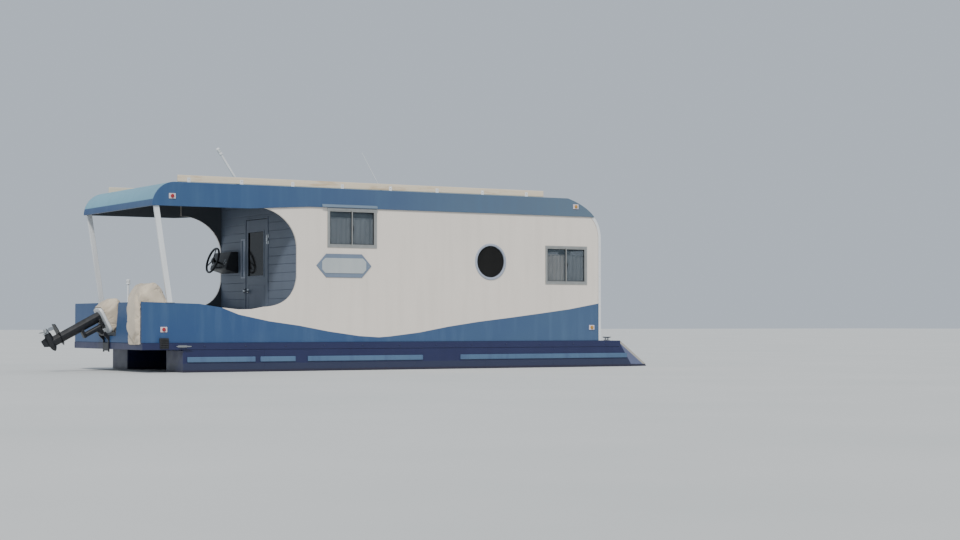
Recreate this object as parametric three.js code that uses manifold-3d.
// Twin-pontoon houseboat with an aft cockpit and a hollow cabin.
// Lengths are in millimetres. While the pieces are made, x is the station forward of the
// transom, y is positive to port and z is the height above the waterline. The last lines move
// the whole boat so that its origin is the middle of its outline at the bottom of the pontoons.
import * as THREE from 'three';
import { mergeVertices } from 'three/addons/utils/BufferGeometryUtils.js';
import Module from 'manifold-3d';

// Driving dimensions
const beam = 2400;
const draft = 280;
const bodyLength = 6540;
const deckLength = 6860;
const originStation = 3256.56;
const seat = 0.3;

// Heights above the waterline
const deckTop = 352;
const deckEdgeBottom = 270;
const transomTop = 836;
const roofTop = 2260;
const fasciaBottomCabin = 2020;
const fasciaBottomCockpit = 1972;

// Thicknesses
const wallThickness = 30;
const frontThickness = 40;
const roofSkin = 40;
const fasciaThickness = 20;
const deckPanelThickness = 22;
const edgeBeamWidth = 40;

const halfBeam = beam / 2;
const wallOuter = halfBeam - fasciaThickness - seat;
const wallInner = wallOuter - wallThickness;

const sides = [
  { name: 'starboard', sign: -1 },
  { name: 'port', sign: 1 },
];

// Paints and finishes
const paint = {
  blue: { color: 0x4a78ad, roughness: 0.45, metalness: 0 },
  navy: { color: 0x1f2a63, roughness: 0.4, metalness: 0 },
  white: { color: 0xe9e3da, roughness: 0.5, metalness: 0 },
  paleBlue: { color: 0xa9c4dc, roughness: 0.45, metalness: 0 },
  cream: { color: 0xeadcc4, roughness: 0.55, metalness: 0 },
  deck: { color: 0x8d9199, roughness: 0.85, metalness: 0 },
  frame: { color: 0xdfe3e6, roughness: 0.35, metalness: 0.2 },
  glass: { color: 0x47586a, roughness: 0.08, metalness: 0 },
  black: { color: 0x17181b, roughness: 0.5, metalness: 0 },
  steel: { color: 0xb9bec4, roughness: 0.3, metalness: 0.9 },
  red: { color: 0xb3262e, roughness: 0.25, metalness: 0 },
  amber: { color: 0xe0a030, roughness: 0.25, metalness: 0 },
  canvas: { color: 0xeeeeea, roughness: 0.9, metalness: 0 },
  bronze: { color: 0x8c8f94, roughness: 0.35, metalness: 0.8 },
  cloth: { color: 0xcfd6dd, roughness: 0.95, metalness: 0 },
};

const wasm = await Module();
wasm.setup();

// A closed geometry as a solid for joining and cutting
function solid(geometry) {
  const plain = geometry.clone();
  plain.deleteAttribute('normal');
  plain.deleteAttribute('uv');
  const merged = mergeVertices(plain, 1e-4);
  return new wasm.Manifold(new wasm.Mesh({
    numProp: 3,
    vertProperties: new Float32Array(merged.attributes.position.array),
    triVerts: new Uint32Array(merged.index.array),
  }));
}

function geometryOf(body) {
  const mesh = body.getMesh();
  const geometry = new THREE.BufferGeometry();
  geometry.setAttribute('position', new THREE.BufferAttribute(mesh.vertProperties, 3));
  geometry.setIndex(new THREE.BufferAttribute(mesh.triVerts, 1));
  return geometry;
}

function joined(...pieces) {
  return geometryOf(pieces.map(solid).reduce((sum, piece) => sum.add(piece)));
}

function cut(piece, ...tools) {
  return geometryOf(tools.map(solid).reduce((left, tool) => left.subtract(tool), solid(piece)));
}

function block(x0, x1, y0, y1, z0, z1) {
  const box = new THREE.BoxGeometry(x1 - x0, y1 - y0, z1 - z0);
  return box.translate((x0 + x1) / 2, (y0 + y1) / 2, (z0 + z1) / 2);
}

// The same block on either side: y0 and y1 are measured outwards from the centreline
function sideBlock(sign, x0, x1, y0, y1, z0, z1) {
  const low = Math.min(sign * y0, sign * y1);
  const high = Math.max(sign * y0, sign * y1);
  return block(x0, x1, low, high, z0, z1);
}

function asShape(outline) {
  if (outline instanceof THREE.Shape) return outline;
  return new THREE.Shape(outline.map(([a, b]) => new THREE.Vector2(a, b)));
}

const alongX = new THREE.Matrix4().makeBasis(
  new THREE.Vector3(0, 1, 0), new THREE.Vector3(0, 0, 1), new THREE.Vector3(1, 0, 0));
const alongY = new THREE.Matrix4().makeBasis(
  new THREE.Vector3(1, 0, 0), new THREE.Vector3(0, 0, 1), new THREE.Vector3(0, -1, 0));

// An outline of [x, z] carried across the boat from y0 to y1
function prismY(outline, y0, y1, curveSegments = 8) {
  const options = { depth: y1 - y0, bevelEnabled: false, curveSegments };
  return new THREE.ExtrudeGeometry(asShape(outline), options).applyMatrix4(alongY).translate(0, y1, 0);
}

// An outline of [y, z] carried along the boat from x0 to x1
function prismX(outline, x0, x1, curveSegments = 8) {
  const options = { depth: x1 - x0, bevelEnabled: false, curveSegments };
  return new THREE.ExtrudeGeometry(asShape(outline), options).applyMatrix4(alongX).translate(x0, 0, 0);
}

// An outline of [x, y] carried up from z0 to z1
function prismZ(outline, z0, z1, curveSegments = 8) {
  const options = { depth: z1 - z0, bevelEnabled: false, curveSegments };
  return new THREE.ExtrudeGeometry(asShape(outline), options).translate(0, 0, z0);
}

// A round bar between two points, thick end first
function rod(from, to, radius, endRadius = radius, segments = 12) {
  const start = new THREE.Vector3(...from);
  const end = new THREE.Vector3(...to);
  const span = end.clone().sub(start);
  const bar = new THREE.CylinderGeometry(endRadius, radius, span.length(), segments);
  bar.applyQuaternion(new THREE.Quaternion().setFromUnitVectors(
    new THREE.Vector3(0, 1, 0), span.clone().normalize()));
  return bar.translate(...start.add(end).multiplyScalar(0.5).toArray());
}

// A turned piece whose axis is X; profile rows are [station, radius]
function turnedX(profile, segments = 28) {
  const points = profile.map(([station, radius]) => new THREE.Vector2(radius, station));
  return new THREE.LatheGeometry(points, segments).rotateZ(-Math.PI / 2);
}

const boat = new THREE.Group();

function place(name, geometry, finish, parent = boat) {
  const mesh = new THREE.Mesh(geometry, new THREE.MeshStandardMaterial(finish));
  mesh.name = name;
  parent.add(mesh);
  return mesh;
}

// Pontoons: round below, upright at the sides, square at the stern and raked at the bow
const pontoon = { half: 270, roundZ: -10, centreY: 925, stern: 510, noseStart: 6855, tip: 7350 };

function pontoonSection(steps = 18) {
  const round = Array.from({ length: steps + 1 }, (_, i) => {
    const angle = Math.PI * (1 + i / steps);
    return [pontoon.half * Math.cos(angle), pontoon.roundZ + pontoon.half * Math.sin(angle)];
  });
  const outline = [...round, [pontoon.half, deckTop], [-pontoon.half, deckTop]];
  return prismX(outline, pontoon.stern, pontoon.tip + 1);
}

// Seen from the side: the deck rests on the long flat, and the nose stands up ahead of its end beam
const underside = [[pontoon.stern, -draft - 1], [6700, -draft - 1], [6900, -271], [7080, -234],
  [7220, -165], [7310, -75]];
const rake = [[pontoon.tip, 0], [7332, 38], [pontoon.noseStart + seat, deckTop - seat]];
const bearing = [[pontoon.noseStart + seat, deckEdgeBottom - seat], [pontoon.stern, deckEdgeBottom - seat]];

// Each side of the nose is bevelled by a plane; its points are [x, distance in from the side, z]
const noseBevel = [[6840, 0, deckTop], [7050, 0, 30], [pontoon.tip, 80, 0]];

function bevelled(body, side) {
  const corners = noseBevel.map(([x, inset, z]) => new THREE.Vector3(x, side * (pontoon.half - inset), z));
  const plane = new THREE.Plane().setFromCoplanarPoints(...corners);
  if (plane.normal.x > 0) plane.negate();
  return body.trimByPlane(plane.normal.toArray(), -plane.constant);
}

function pontoonBody() {
  const profile = prismY([...underside, ...rake, ...bearing], -pontoon.half - 1, pontoon.half + 1);
  const whole = solid(pontoonSection()).intersect(solid(profile));
  return geometryOf(bevelled(bevelled(whole, -1), 1));
}

// Rub strips in lengths along the outer side; rows are [from, to]
const rubStrip = { z0: 120, z1: 184, stand: 15, sunk: 3 };
const rubStripLengths = [[560, 1440], [1505, 1975], [2140, 3765], [4320, 6960]];

for (const { name, sign } of sides) {
  const strips = rubStripLengths.map(([from, to]) => sideBlock(sign, from, to,
    pontoon.half - rubStrip.sunk, pontoon.half + rubStrip.stand, rubStrip.z0, rubStrip.z1));
  const hull = joined(pontoonBody(), ...strips);
  place(`pontoon_${name}`, hull.translate(0, sign * pontoon.centreY, 0), paint.navy);
}

// Deck: edge beams all round, cross beams, and a panel let in between them
const crossBeams = { first: 600, pitch: 1020, count: 7, width: 60, inset: 5 };
const panelBottom = deckTop - deckPanelThickness;

function deckFrame() {
  const outer = block(0, deckLength, -halfBeam, halfBeam, deckEdgeBottom, deckTop - seat);
  const inner = block(edgeBeamWidth, deckLength - edgeBeamWidth,
    -halfBeam + edgeBeamWidth, halfBeam - edgeBeamWidth, deckEdgeBottom - 1, deckTop + 1);
  const noseNotches = sides.map(({ sign }) => sideBlock(sign, pontoon.noseStart, deckLength + 1,
    pontoon.centreY - pontoon.half - seat, halfBeam + 1, deckEdgeBottom - 1, deckTop + 1));
  const beams = Array.from({ length: crossBeams.count }, (_, i) => {
    const x0 = crossBeams.first + i * crossBeams.pitch - crossBeams.width / 2;
    return block(x0, x0 + crossBeams.width, -halfBeam + crossBeams.inset, halfBeam - crossBeams.inset,
      deckEdgeBottom, panelBottom - seat);
  });
  return joined(cut(outer, inner, ...noseNotches), ...beams, ...cleats());
}

const panelInset = edgeBeamWidth + seat;
place('deck_panel', block(panelInset, deckLength - panelInset,
  -halfBeam + panelInset, halfBeam - panelInset, panelBottom, deckTop - seat), paint.deck);

// A loose sole panel lies on the deck in the cockpit
const sole = { x0: 60, x1: 1960, half: 1120, thickness: 12 };
place('cockpit_sole', block(sole.x0, sole.x1, -sole.half, sole.half, deckTop, deckTop + sole.thickness),
  paint.deck);

// Horn cleats: one on each edge beam aft, one on each side of the foredeck
const cleat = { aftX: 500, aftZ: 311, foreX: 6837, foreY: 900 };

function hornCleat() {
  return joined(block(-55, 55, -15, 15, -3, 8), rod([-28, 0, 4], [-28, 0, 40], 9, 9, 8),
    rod([28, 0, 4], [28, 0, 40], 9, 9, 8), rod([-95, 0, 40], [95, 0, 40], 9, 9, 8));
}

function cleats() {
  return sides.flatMap(({ sign }) => [
    hornCleat().rotateX(-sign * Math.PI / 2).translate(cleat.aftX, sign * halfBeam, cleat.aftZ),
    hornCleat().rotateZ(Math.PI / 2).translate(cleat.foreX, sign * cleat.foreY, deckTop - seat),
  ]);
}

place('deck_frame', deckFrame(), paint.navy);

// The front corner of the body, from the roof's flat down to the upright front wall
const frontCurve = { start: [6000, roofTop], corner: [bodyLength, 2100], end: [bodyLength, 1730] };

function frontPoints(inset, steps = 10) {
  const curve = new THREE.QuadraticBezierCurve(
    new THREE.Vector2(...frontCurve.start), new THREE.Vector2(...frontCurve.corner),
    new THREE.Vector2(...frontCurve.end));
  return Array.from({ length: steps + 1 }, (_, i) => {
    const point = curve.getPoint(i / steps);
    const tangent = curve.getTangent(i / steps);
    return [point.x + tangent.y * inset, point.y - tangent.x * inset];
  });
}

// Points of the front corner on one side of a level, with the crossing added
function splitFront(inset, level) {
  const points = frontPoints(inset);
  const upper = points.filter(([, z]) => z > level);
  const lower = points.filter(([, z]) => z < level);
  const [xa, za] = upper[upper.length - 1];
  const [xb, zb] = lower[0];
  const crossing = [xa + (xb - xa) * (za - level) / (za - zb), level];
  return { upper: [...upper, crossing], lower: [crossing, ...lower] };
}

// Roof: one moulding with a top skin, side fascias, a round aft edge and the upper front corner
const roofAft = { centreX: 400, radius: 288 };

function aftArc(radius, steps = 8) {
  return Array.from({ length: steps + 1 }, (_, i) => {
    const angle = Math.PI - (Math.PI / 2) * (i / steps);
    return [roofAft.centreX + radius * Math.cos(angle), fasciaBottomCockpit + radius * Math.sin(angle)];
  });
}

const fasciaStep = { from: 1350, to: 2150 };

function roofShell() {
  const outer = [...aftArc(roofAft.radius), ...splitFront(0, fasciaBottomCabin).upper,
    [fasciaStep.to, fasciaBottomCabin], [fasciaStep.from, fasciaBottomCockpit]];
  const inner = [[roofAft.centreX - roofAft.radius + roofSkin, 1900],
    ...aftArc(roofAft.radius - roofSkin), ...splitFront(roofSkin, fasciaBottomCabin).upper,
    [frontPoints(roofSkin)[10][0] - 60, 1900]];
  const innerHalf = halfBeam - fasciaThickness;
  return cut(prismY(outer, -halfBeam, halfBeam), prismY(inner, -innerHalf, innerHalf));
}

// A drip cap stands over each aft window
const dripCap = { x0: 2330, x1: 3100, z0: 2024, z1: 2062, depth: 24 };

// Side walls: bulwark aft, cockpit opening, cabin side with two windows and a porthole
const windows = [
  { name: 'aft', x0: 2425, x1: 3095, z0: 1540, z1: 2004 },
  { name: 'forward', x0: 5655, x1: 6302, z0: 1118, z1: 1606 },
];
const porthole = { x: 4790, z: 1389, hole: 222, ring: 238, glass: 206 };

// The cockpit opening ends forward in two round corners
const opening = { forward: 2000, top: 2000, cornerTop: [570, 500], lowerStart: 1560, lowerEnd: 1150 };
const openingLowerCorner = [1960, 800];
const bulwark = [[0, transomTop], [716, 817], [1000, 775], [1230, 752], [1400, 756],
  [opening.lowerStart, 785]];

function sideWallShape() {
  const shape = new THREE.Shape();
  shape.moveTo(0, deckTop);
  const foot = frontPoints(frontThickness + seat)[10];
  shape.lineTo(foot[0], deckTop);
  const front = frontPoints(frontThickness + seat).reverse();
  for (const [x, z] of front) shape.lineTo(x, z);
  shape.lineTo(opening.forward - opening.cornerTop[0], roofTop - roofSkin - seat);
  shape.lineTo(opening.forward - opening.cornerTop[0], opening.top);
  shape.absellipse(opening.forward - opening.cornerTop[0], opening.top - opening.cornerTop[1],
    opening.cornerTop[0], opening.cornerTop[1], Math.PI / 2, 0, true);
  shape.lineTo(opening.forward, opening.lowerEnd);
  shape.quadraticCurveTo(...openingLowerCorner, ...bulwark[bulwark.length - 1]);
  for (const [x, z] of [...bulwark].reverse().slice(1)) shape.lineTo(x, z);
  for (const { x0, x1, z0, z1 } of windows) {
    shape.holes.push(new THREE.Path([[x0, z0], [x0, z1], [x1, z1], [x1, z0]]
      .map(([x, z]) => new THREE.Vector2(x, z))));
  }
  const round = new THREE.Path();
  round.absarc(porthole.x, porthole.z, porthole.hole, 0, 2 * Math.PI, true);
  shape.holes.push(round);
  return shape;
}

// Marker lamps stand on the walls and fascias: rows are [station, height]
const wallLamps = [[270, 510], [6390, 530]];
const fasciaLamps = [[360, 2090], [6120, 2150]];

function lamps(rows, sign, face) {
  return rows.map(([x, z]) => joined(sideBlock(sign, x - 42, x + 42, face - 3, face + 10, z - 32, z + 32),
    rod([x, sign * (face + 8), z], [x, sign * (face + 26), z], 22, 17, 14)));
}

for (const { name, sign } of sides) {
  const y0 = sign > 0 ? wallInner : -wallOuter;
  const wall = prismY(sideWallShape(), y0, y0 + wallThickness, 12);
  place(`side_wall_${name}`, joined(wall, ...lamps(wallLamps, sign, wallOuter)), paint.white);
}

place('roof', joined(roofShell(), ...sides.flatMap(({ sign }) => [
  ...lamps(fasciaLamps, sign, halfBeam),
  sideBlock(sign, dripCap.x0, dripCap.x1, halfBeam - 3, halfBeam + dripCap.depth, dripCap.z0, dripCap.z1),
])), paint.blue);

// Front wall with a doorway and a window on each side of it
const frontOpenings = {
  door: { y0: -300, y1: 300, z0: 384, z1: 1760 },
  windowHalf: { y0: 430, y1: 1010, z0: 1090, z1: 1600 },
};

function frontWall() {
  const level = fasciaBottomCabin - seat;
  const outline = [...splitFront(0, level).lower, [bodyLength, deckTop],
    [bodyLength - frontThickness, deckTop], ...splitFront(frontThickness, level).lower.reverse()];
  const { door, windowHalf } = frontOpenings;
  const holes = [block(bodyLength - 90, bodyLength + 10, door.y0, door.y1, door.z0, door.z1)];
  for (const { sign } of sides) {
    holes.push(sideBlock(sign, bodyLength - 90, bodyLength + 10,
      windowHalf.y0, windowHalf.y1, windowHalf.z0, windowHalf.z1));
  }
  return cut(prismY(outline, -wallOuter, wallOuter), ...holes);
}

// Aft bulkhead between cockpit and cabin, with a doorway and a narrow side light
const bulkhead = { x0: 2000, x1: 2030 };
const aftDoorway = { y0: -320, y1: 340, z0: 384, z1: 1920 };
const sideLight = { y0: 362, y1: 480, z0: 1190, z1: 1660 };
const bulkheadHalf = wallInner - seat;

// Transom with a low middle for the motor
const motorCut = { half: 300, z: 430 };
place('transom', prismX([[-bulkheadHalf, deckTop], [bulkheadHalf, deckTop], [bulkheadHalf, transomTop],
  [motorCut.half + 90, transomTop], [motorCut.half, motorCut.z], [-motorCut.half, motorCut.z],
  [-motorCut.half - 90, transomTop], [-bulkheadHalf, transomTop]], 0, wallThickness), paint.blue);

// Slanted posts between bulwark and roof; their heads follow the inside of the roof's round edge
const post = { footX: 351, footZ: 829, headX: 148, headZ: 2140, width: 66, depth: 36 };
for (const { name, sign } of sides) {
  const half = post.width / 2;
  const outline = [[post.footX - half, post.footZ], [post.footX + half, post.footZ],
    [post.headX + half, post.headZ], [post.headX - half, post.headZ]];
  const roofEdge = [[0, fasciaBottomCockpit - seat], ...aftArc(roofAft.radius - roofSkin - seat),
    [roofAft.centreX, 2400], [0, 2400]];
  const y0 = sign > 0 ? wallOuter - post.depth : -wallOuter;
  place(`aft_post_${name}`, cut(prismY(outline, y0, y0 + post.depth),
    prismY(roofEdge, y0 - 5, y0 + post.depth + 5)), paint.white);
}

// Doors swing on stacked knuckles: the outer pair is fixed, the middle one turns with the door
const knuckle = { radius: 8, length: 40, gap: 0.5, leafWidth: 34, leafThickness: 3 };

function knuckles(axisX, axisY, heights, moving) {
  const { radius, length, gap } = knuckle;
  return heights.flatMap((z) => {
    const spans = moving ? [[-length / 2, length / 2]]
      : [[-1.5 * length, -length / 2 - gap], [length / 2 + gap, 1.5 * length]];
    return spans.map(([low, high]) => rod([axisX, axisY, z + low], [axisX, axisY, z + high],
      radius, radius, 10));
  });
}

const aftDoor = {
  thickness: 26, gap: 6, axisX: 1990, axisY: -326, hinges: [640, 1650],
  window: { y0: -215, y1: 285, z0: 1180, z1: 1770 },
};

function doorPlate(x0, x1, doorway, gap, glassHole) {
  return cut(
    block(x0, x1, doorway.y0 + gap, doorway.y1 - gap, doorway.z0 + gap, doorway.z1 - gap),
    block(x0 - 10, x1 + 10, glassHole.y0, glassHole.y1, glassHole.z0, glassHole.z1));
}

// The leaf on the door is as high as its middle knuckle; the part over the wall stays clear of it
function movingLeaves({ hinges }, x0, clearX, rootedX, y0, edgeY, y1) {
  return hinges.flatMap((z) => {
    const low = z - knuckle.length / 2;
    const high = z + knuckle.length / 2;
    return [[clearX, y0], [rootedX, edgeY]].map(([x1, y2]) => block(Math.min(x0, x1), Math.max(x0, x1),
      Math.min(y2, y1), Math.max(y2, y1), low, high));
  });
}

// The wall's leaves stand behind the outer knuckles
function fixedLeaves({ hinges }, x0, x1, y0, y1) {
  const { length, gap } = knuckle;
  return hinges.flatMap((z) => [
    block(x0, x1, y0, y1, z - 1.5 * length, z - length / 2 - gap),
    block(x0, x1, y0, y1, z + length / 2 + gap, z + 1.5 * length)]);
}

const aftDoorFace = bulkhead.x0;
const doorEdge = aftDoorway.y0 + aftDoor.gap;
const leafReach = 30;
const aftLeaves = movingLeaves(aftDoor, aftDoorFace - 7, aftDoorFace - 0.5, aftDoorFace + 1,
  aftDoor.axisY, doorEdge, doorEdge + leafReach);
const knob = { y: 275, z: 1000, stem: 45, radius: 27, stemRadius: 11 };
place('aft_door', joined(
  doorPlate(aftDoorFace, aftDoorFace + aftDoor.thickness, aftDoorway, aftDoor.gap, aftDoor.window),
  rod([aftDoorFace + 2, knob.y, knob.z], [aftDoorFace - knob.stem, knob.y, knob.z], knob.stemRadius),
  new THREE.SphereGeometry(knob.radius, 14, 10).translate(aftDoorFace - knob.stem, knob.y, knob.z),
  ...aftLeaves, ...knuckles(aftDoor.axisX, aftDoor.axisY, aftDoor.hinges, true)), paint.white);

const aftFixedLeaves = fixedLeaves(aftDoor, aftDoor.axisX, bulkhead.x0 + 2,
  aftDoor.axisY - knuckle.leafWidth, aftDoor.axisY);

place('aft_bulkhead', joined(cut(
  block(bulkhead.x0, bulkhead.x1, -bulkheadHalf, bulkheadHalf, deckTop, roofTop - roofSkin - seat),
  block(bulkhead.x0 - 10, bulkhead.x1 + 10, aftDoorway.y0, aftDoorway.y1, aftDoorway.z0, aftDoorway.z1),
  block(bulkhead.x0 - 10, bulkhead.x1 + 10, sideLight.y0, sideLight.y1, sideLight.z0, sideLight.z1)),
...aftFixedLeaves, ...knuckles(aftDoor.axisX, aftDoor.axisY, aftDoor.hinges, false)), paint.white);

place('aft_door_glass', block(aftDoorFace + 10, aftDoorFace + 15,
  aftDoor.window.y0 + seat, aftDoor.window.y1 - seat,
  aftDoor.window.z0 + seat, aftDoor.window.z1 - seat), paint.glass);

const frontDoor = {
  thickness: 26, gap: 6, axisX: bodyLength + 10, axisY: 306, hinges: [600, 1540],
  window: { y0: -200, y1: 200, z0: 1130, z1: 1600 },
};
const frontDoorFace = bodyLength;
const frontEdge = frontOpenings.door.y1 - frontDoor.gap;
const frontLeaves = movingLeaves(frontDoor, frontDoorFace + 7, frontDoorFace + 0.5, frontDoorFace - 1,
  frontDoor.axisY, frontEdge, frontEdge - leafReach);
place('front_door', joined(
  doorPlate(frontDoorFace - frontDoor.thickness, frontDoorFace, frontOpenings.door, frontDoor.gap,
    frontDoor.window),
  ...frontLeaves, ...knuckles(frontDoor.axisX, frontDoor.axisY, frontDoor.hinges, true)), paint.white);

const frontFixedLeaves = fixedLeaves(frontDoor, bodyLength - 2, frontDoor.axisX,
  frontDoor.axisY, frontDoor.axisY + knuckle.leafWidth);
place('front_wall', joined(frontWall(), ...frontFixedLeaves,
  ...knuckles(frontDoor.axisX, frontDoor.axisY, frontDoor.hinges, false)), paint.white);

place('front_door_glass', block(frontDoorFace - 16, frontDoorFace - 11,
  frontDoor.window.y0 + seat, frontDoor.window.y1 - seat,
  frontDoor.window.z0 + seat, frontDoor.window.z1 - seat), paint.glass);

// Window frames: a liner through the wall, a flange outside and a bar between the two panes
const frame = { flange: 13, flangeDepth: 9, liner: 14, bar: 24 };
const pane = { y0: wallInner + 12, y1: wallInner + 17 };

function windowFrame({ x0, x1, z0, z1 }, sign) {
  const middle = (x0 + x1) / 2;
  const liner = sideBlock(sign, x0 + seat, x1 - seat, wallInner, wallOuter + 1, z0 + seat, z1 - seat);
  const flange = sideBlock(sign, x0 - frame.flange, x1 + frame.flange, wallOuter + seat,
    wallOuter + seat + frame.flangeDepth, z0 - frame.flange,
    Math.min(z1 + frame.flange, fasciaBottomCabin - 2));
  const hole = sideBlock(sign, x0 + frame.liner, x1 - frame.liner, wallInner - 5, wallOuter + 40,
    z0 + frame.liner, z1 - frame.liner);
  const bar = sideBlock(sign, middle - frame.bar / 2, middle + frame.bar / 2, pane.y1 + seat, wallOuter + 4,
    z0 + frame.liner - 3, z1 - frame.liner + 3);
  return joined(cut(joined(liner, flange), hole), bar);
}

function windowPane({ x0, x1, z0, z1 }, sign) {
  const inset = frame.liner + seat;
  return sideBlock(sign, x0 + inset, x1 - inset, pane.y0, pane.y1, z0 + inset, z1 - inset);
}

function disc(radius, y0, y1, segments = 28) {
  return rod([porthole.x, y0, porthole.z], [porthole.x, y1, porthole.z], radius, radius, segments);
}

for (const { name, sign } of sides) {
  for (const hole of windows) {
    place(`window_frame_${name}_${hole.name}`, windowFrame(hole, sign), paint.frame);
    place(`window_glass_${name}_${hole.name}`, windowPane(hole, sign), paint.glass);
  }
  place(`porthole_glass_${name}`, disc(porthole.glass - 0.4, sign * pane.y0, sign * pane.y1), paint.glass);
  place(`porthole_ring_${name}`, cut(
    joined(disc(porthole.hole - 4, sign * wallInner, sign * (wallOuter + 5)),
      disc(porthole.ring, sign * (wallOuter + seat), sign * (wallOuter + 14))),
    disc(porthole.glass, sign * (wallInner - 5), sign * (wallOuter + 40))), paint.paleBlue);
}

// Front windows
function frontWindow(sign) {
  const { y0, y1, z0, z1 } = frontOpenings.windowHalf;
  const liner = sideBlock(sign, bodyLength - frontThickness, bodyLength + 1,
    y0 + seat, y1 - seat, z0 + seat, z1 - seat);
  const flange = sideBlock(sign, bodyLength + seat, bodyLength + seat + frame.flangeDepth,
    y0 - frame.flange, y1 + frame.flange, z0 - frame.flange, z1 + frame.flange);
  const hole = sideBlock(sign, bodyLength - 90, bodyLength + 40,
    y0 + frame.liner, y1 - frame.liner, z0 + frame.liner, z1 - frame.liner);
  return cut(joined(liner, flange), hole);
}

function frontPane(sign) {
  const { y0, y1, z0, z1 } = frontOpenings.windowHalf;
  const inset = frame.liner + seat;
  return sideBlock(sign, bodyLength - 24, bodyLength - 19, y0 + inset, y1 - inset, z0 + inset, z1 - inset);
}

for (const { name, sign } of sides) {
  place(`front_window_frame_${name}`, frontWindow(sign), paint.frame);
  place(`front_window_glass_${name}`, frontPane(sign), paint.glass);
}

place('side_light_glass', block(bulkhead.x0 + 12, bulkhead.x0 + 17, sideLight.y0 + seat, sideLight.y1 - seat,
  sideLight.z0 + seat, sideLight.z1 - seat), paint.glass);

// Name boards: plates with pointed ends on both sides, blank
const nameBoard = { x: 2645, z: 1301, half: 385, square: 250, halfHeight: 147, depth: 16 };

function nameBoardOutline() {
  const { x, z, half, square, halfHeight } = nameBoard;
  return [[x - half, z], [x - square, z - halfHeight], [x + square, z - halfHeight],
    [x + half, z], [x + square, z + halfHeight], [x - square, z + halfHeight]];
}

for (const { name, sign } of sides) {
  const y0 = sign > 0 ? wallOuter + seat : -wallOuter - seat - nameBoard.depth;
  place(`name_board_${name}`, prismY(nameBoardOutline(), y0, y0 + nameBoard.depth), paint.paleBlue);
}

// Roof rails: a flat rail on tabs along each roof edge
const rail = { x0: 437, x1: 5620, z0: 2265, z1: 2346, y0: 1158, y1: 1180 };
const railTabs = { first: 576, pitch: 681, count: 8, half: 22 };

for (const { name, sign } of sides) {
  const board = sideBlock(sign, rail.x0, rail.x1, rail.y0, rail.y1, rail.z0, rail.z1);
  const tabs = Array.from({ length: railTabs.count }, (_, i) => {
    const x0 = railTabs.first + i * railTabs.pitch - railTabs.half;
    const x1 = x0 + 2 * railTabs.half;
    return [
      sideBlock(sign, x0, x1, rail.y0 - 10, rail.y1 + 7, roofTop + seat, rail.z0 + 1),
      sideBlock(sign, x0, x1, rail.y1 - 2, rail.y1 + 7, roofTop + 1, rail.z1 - 6)];
  });
  place(`roof_rail_${name}`, joined(board, ...tabs.flat()), paint.cream);
}

// Folding light mast and whip aerial on the starboard roof edge
const mast = { x: 1237, y: -1110, pivotZ: 2296, lean: 34, length: 480, tube: 15 };
place('mast_foot', joined(
  block(mast.x - 35, mast.x + 35, mast.y - 35, mast.y + 35, roofTop + seat, roofTop + 8),
  block(mast.x - 16, mast.x + 16, mast.y - 26, mast.y - 18, roofTop + 6, mast.pivotZ + 16),
  block(mast.x - 16, mast.x + 16, mast.y + 18, mast.y + 26, roofTop + 6, mast.pivotZ + 16)), paint.steel);

function mastPoint(distance) {
  const lean = THREE.MathUtils.degToRad(mast.lean);
  return [mast.x - distance * Math.sin(lean), mast.y, mast.pivotZ + distance * Math.cos(lean)];
}

place('light_mast', joined(
  rod([mast.x, mast.y - 17.5, mast.pivotZ], [mast.x, mast.y + 17.5, mast.pivotZ], 13, 13, 12),
  rod(mastPoint(0), mastPoint(mast.length - 90), mast.tube, mast.tube, 14),
  rod(mastPoint(mast.length - 95), mastPoint(mast.length), 24, 22, 14)), paint.white);

const aerial = { x: 3200, y: -1110, tip: [2930, -1110, 2735] };
place('whip_aerial', joined(
  rod([aerial.x, aerial.y, roofTop + seat], [aerial.x, aerial.y, roofTop + 30], 24, 18, 12),
  rod([aerial.x, aerial.y, roofTop + 18], aerial.tip, 6, 3, 8)), paint.frame);

// Stern light on a short pole beside the motor
const sternLight = { y: -680, top: 1110 };
place('stern_light', joined(
  rod([15, sternLight.y, transomTop + seat], [15, sternLight.y, sternLight.top - 50], 11, 11, 10),
  rod([15, sternLight.y, sternLight.top - 60], [15, sternLight.y, sternLight.top], 27, 25, 12)), paint.frame);

// Helm: console on the bulkhead with a wheel on a short column
const helm = { x: 1752, y: 850, z: 1412, rim: 165, tube: 15, tilt: 18 };
place('helm_console', prismY([[bulkhead.x0 - seat, 1240], [bulkhead.x0 - seat, 1520], [1900, 1520],
  [1866, 1442], [1818, 1295]], 590, 1110), paint.black);

const helmGroup = new THREE.Group();
helmGroup.position.set(helm.x, helm.y, helm.z);
helmGroup.rotation.y = THREE.MathUtils.degToRad(helm.tilt);
boat.add(helmGroup);

function steeringWheel() {
  const rim = new THREE.TorusGeometry(helm.rim, helm.tube, 8, 28).rotateY(Math.PI / 2);
  const spokes = [90, 210, 330].map((angle) => {
    const radians = THREE.MathUtils.degToRad(angle);
    return rod([0, 0, 0], [0, helm.rim * Math.cos(radians), helm.rim * Math.sin(radians)], 9, 9, 8);
  });
  const hub = rod([-14, 0, 0], [16, 0, 0], 34, 38, 14);
  const column = rod([10, 0, 0], [98.5, 0, 0], 14, 14, 12);
  return joined(rim, ...spokes, hub, column);
}

place('steering_wheel', steeringWheel(), paint.black, helmGroup);

// Outboard motor, drawn lowered about its tilt axis and then tilted up as stored
const motor = { x: -50, z: 455, tilt: 62, steerX: -95 };

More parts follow.
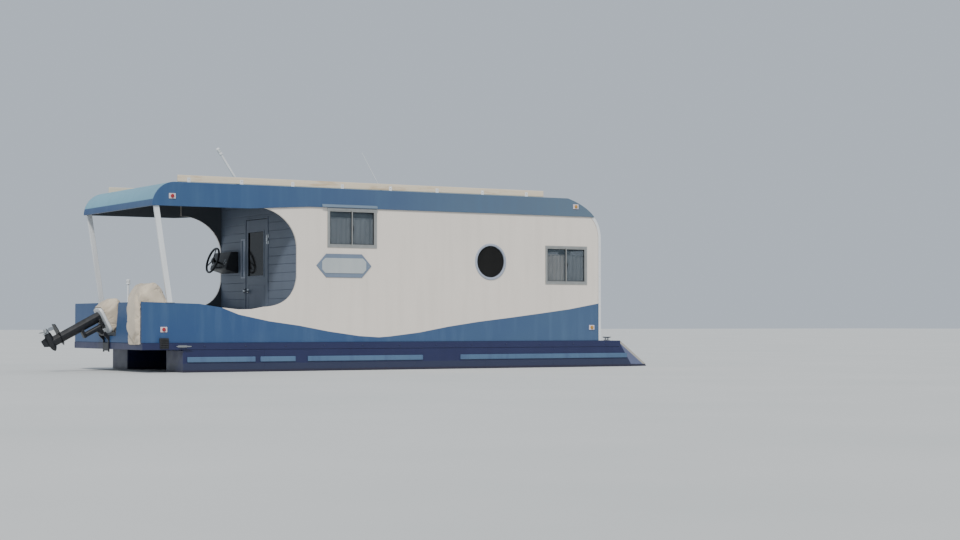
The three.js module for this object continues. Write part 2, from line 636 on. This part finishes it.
const bracketOutline = [[-seat, 236], [-seat, motorCut.z + seat], [wallThickness + seat, motorCut.z + seat],
  [wallThickness + seat, 366], [wallThickness + 12, 366], [wallThickness + 12, motorCut.z + 12],
  [-20, motorCut.z + 12], [-46, 483], [-72, 470], [-72, 436], [-16, 380], [-16, 236]];
const bracketPlates = sides.map(({ sign }) => {
  const y0 = sign > 0 ? 82 : -100;
  const pinHole = rod([motor.x, y0 - 5, motor.z], [motor.x, y0 + 23, motor.z], 13.5, 13.5, 20);
  return cut(prismY(bracketOutline, y0, y0 + 18), pinHole);
});
place('motor_bracket', joined(...bracketPlates, block(-16, -seat, -90, 90, 250, 350)), paint.black);

const motorGroup = new THREE.Group();
motorGroup.position.set(motor.x, 0, motor.z);
motorGroup.rotation.y = THREE.MathUtils.degToRad(motor.tilt);
boat.add(motorGroup);

place('motor_swivel', joined(
  rod([0, -106, 0], [0, 106, 0], 12.8, 12.8, 16),
  rod([0, -76, 0], [0, 76, 0], 22, 22, 14),
  prismY([[0, -20], [0, 14], [motor.steerX, 14], [motor.steerX, -190], [motor.steerX + 25, -190],
    [motor.steerX + 30, -60]], -32, 32),
  rod([motor.steerX, 0, -200], [motor.steerX, 0, 14], 32, 32, 18)), paint.black, motorGroup);

const leg = { aft: -275, fore: -150, plateZ: -498, torpedoZ: -618 };

function motorLeg() {
  const column = prismZ([[leg.fore, 0], [leg.fore - 30, 40], [leg.aft + 45, 42], [leg.aft, 0],
    [leg.aft + 45, -42], [leg.fore - 30, -40]], leg.torpedoZ, 62);
  const upperYoke = block(leg.fore - 40, motor.steerX + 34, -48, 48, 14.4, 52);
  const lowerYoke = block(leg.fore - 40, motor.steerX + 30, -36, 36, -236, -200.4);
  const plate = prismZ([[-110, 0], [-150, 60], [-330, 85], [-400, 60], [-400, -60], [-330, -85], [-150, -60]],
    leg.plateZ, leg.plateZ + 8);
  const torpedo = turnedX([[-333.6, 0], [-333.6, 38], [-290, 46], [-190, 44], [-130, 30], [-105, 12],
    [-98, 0]], 16).translate(0, 0, leg.torpedoZ);
  const skeg = prismY([[-170, leg.torpedoZ - 30], [-205, -722], [-285, -728],
    [-300, leg.torpedoZ - 30]], -6, 6);
  return joined(column, upperYoke, lowerYoke, plate, torpedo, skeg);
}

place('motor_leg', motorLeg(), paint.black, motorGroup);

// The cowl and the canvas hood over it; the hood's solid has an open foot like a loose bag
const cowl = { x0: -310, x1: 15, half: 125, z0: 62.4, z1: 310, corner: 62 };

function rounded(x0, x1, half, corner) {
  const shape = new THREE.Shape();
  shape.moveTo(x0 + corner, -half);
  shape.lineTo(x1 - corner, -half);
  shape.quadraticCurveTo(x1, -half, x1, -half + corner);
  shape.lineTo(x1, half - corner);
  shape.quadraticCurveTo(x1, half, x1 - corner, half);
  shape.lineTo(x0 + corner, half);
  shape.quadraticCurveTo(x0, half, x0, half - corner);
  shape.lineTo(x0, -half + corner);
  shape.quadraticCurveTo(x0, -half, x0 + corner, -half);
  return shape;
}

place('motor_cowl', prismZ(rounded(cowl.x0, cowl.x1, cowl.half, cowl.corner), cowl.z0, cowl.z1, 4),
  paint.white, motorGroup);

const hood = { gap: 6, cloth: 8, foot: 85 };

function motorHood() {
  const around = (gap, corner) => rounded(cowl.x0 - gap, cowl.x1 + gap, cowl.half + gap, corner);
  const outer = hood.gap + hood.cloth;
  const shell = prismZ(around(outer, cowl.corner + hood.cloth), hood.foot, cowl.z1 + outer, 4);
  const hollow = prismZ(around(hood.gap, cowl.corner + 2), hood.foot - 10, cowl.z1 + 1, 4);
  return cut(shell, hollow);
}

place('motor_hood', motorHood(), paint.canvas, motorGroup);

const propeller = { x: -332, blades: 3, radius: 105 };

function propellerWheel() {
  const hubProfile = [[-62, 0], [-62, 22], [-20, 30], [-2, 34], [-2, 0]];
  const hub = turnedX(hubProfile.map(([x, radius]) => [propeller.x + x, radius]), 16);
  const blades = Array.from({ length: propeller.blades }, (_, i) => {
    const blade = prismX([[-12, 15], [-42, 55], [-38, 85], [0, propeller.radius], [34, 90], [30, 50],
      [12, 15]], -3, 3);
    blade.rotateZ(THREE.MathUtils.degToRad(24));
    return blade.translate(propeller.x - 32, 0, 0).rotateX((2 * Math.PI * i) / propeller.blades);
  });
  return joined(hub, ...blades).translate(0, 0, leg.torpedoZ);
}

place('propeller', propellerWheel(), paint.bronze, motorGroup);

// A folded canvas cover is thrown over the transom's starboard horn: its outline is [x, z]
const coverSpan = { y0: -1140, y1: -760 };
const coverOutside = [[-14, 335], [-20, 620], [-16, 880], [22, 950], [75, 1030], [140, 1062], [205, 1040],
  [270, 960], [318, 850], [325, 740], [270, 640], [150, 596], [wallThickness + seat, 610]];
const coverOverTransom = [[wallThickness + seat, transomTop + seat], [-seat, transomTop + seat],
  [-seat, 335]];
place('canvas_cover', prismY([...coverOutside, ...coverOverTransom], coverSpan.y0, coverSpan.y1),
  paint.canvas);

// Gathered curtains hang inside the side windows from just below their heads
const curtain = { depth: 24, beside: 10, below: 20, above: -52 };
for (const { name, sign } of sides) {
  for (const { name: window, x0, x1, z0, z1 } of windows) {
    const y1 = wallInner - seat;
    place(`curtain_${name}_${window}`, sideBlock(sign, x0 - curtain.beside, x1 + curtain.beside,
      y1 - curtain.depth, y1, z0 - curtain.below, z1 + curtain.above), paint.cloth);
  }
}

boat.position.set(-originStation, 0, draft);

export default boat;
